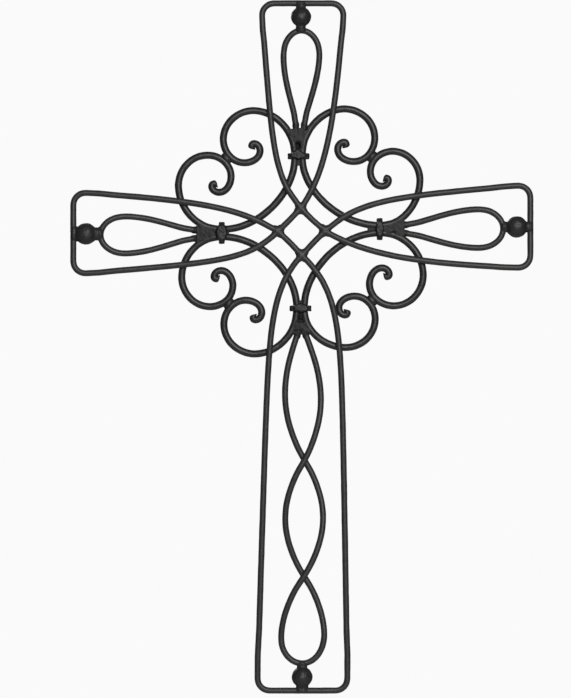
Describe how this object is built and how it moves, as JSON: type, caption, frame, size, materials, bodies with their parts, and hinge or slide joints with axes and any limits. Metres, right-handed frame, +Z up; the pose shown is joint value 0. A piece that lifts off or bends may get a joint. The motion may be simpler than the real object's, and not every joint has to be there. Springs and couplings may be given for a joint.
{
  "type": "wall cross",
  "caption": "Latin cross bent from round black iron rod, with curling scrolls in its corners, a loop in each short arm, a twisted pair in the long lower arm and a ball at each end.",
  "frame": {"origin": "inside of the round end of the top loop, in the plane of the outline rods, where the nail or hook carries the cross", "axes": "+Z up the long axis of the cross, +Y towards the wall, +X to the right as seen from the front"},
  "size_m": [0.4074, 0.0204, 0.61],
  "materials": {
    "outline_iron": "matte black paint over hammered round bar",
    "scroll_iron": "matte black paint over hammered round bar",
    "inner_iron": "matte black paint over hammered round bar",
    "ball_iron": "matte black paint over a forged ball",
    "collar_iron": "matte black paint over forged strip",
    "weld_metal": "matte black paint over rough weld"
  },
  "bodies": {
    "root": {"outline_rod_top_right": "outline_iron", "outline_rod_bottom_right": "outline_iron", "outline_rod_bottom_left": "outline_iron", "outline_rod_top_left": "outline_iron", "scroll_top_right": "scroll_iron", "scroll_bottom_right": "scroll_iron", "scroll_bottom_left": "scroll_iron", "scroll_top_left": "scroll_iron", "loop_top": "inner_iron", "loop_right": "inner_iron", "loop_left": "inner_iron", "twist_bottom": "inner_iron", "ball_top": "ball_iron", "collar_top": "collar_iron", "weld_web_top": "weld_metal", "ball_right": "ball_iron", "collar_right": "collar_iron", "weld_web_right": "weld_metal", "ball_bottom": "ball_iron", "collar_bottom": "collar_iron", "weld_web_bottom": "weld_metal", "ball_left": "ball_iron", "collar_left": "collar_iron", "weld_web_left": "weld_metal"}
  },
  "joints": []
}
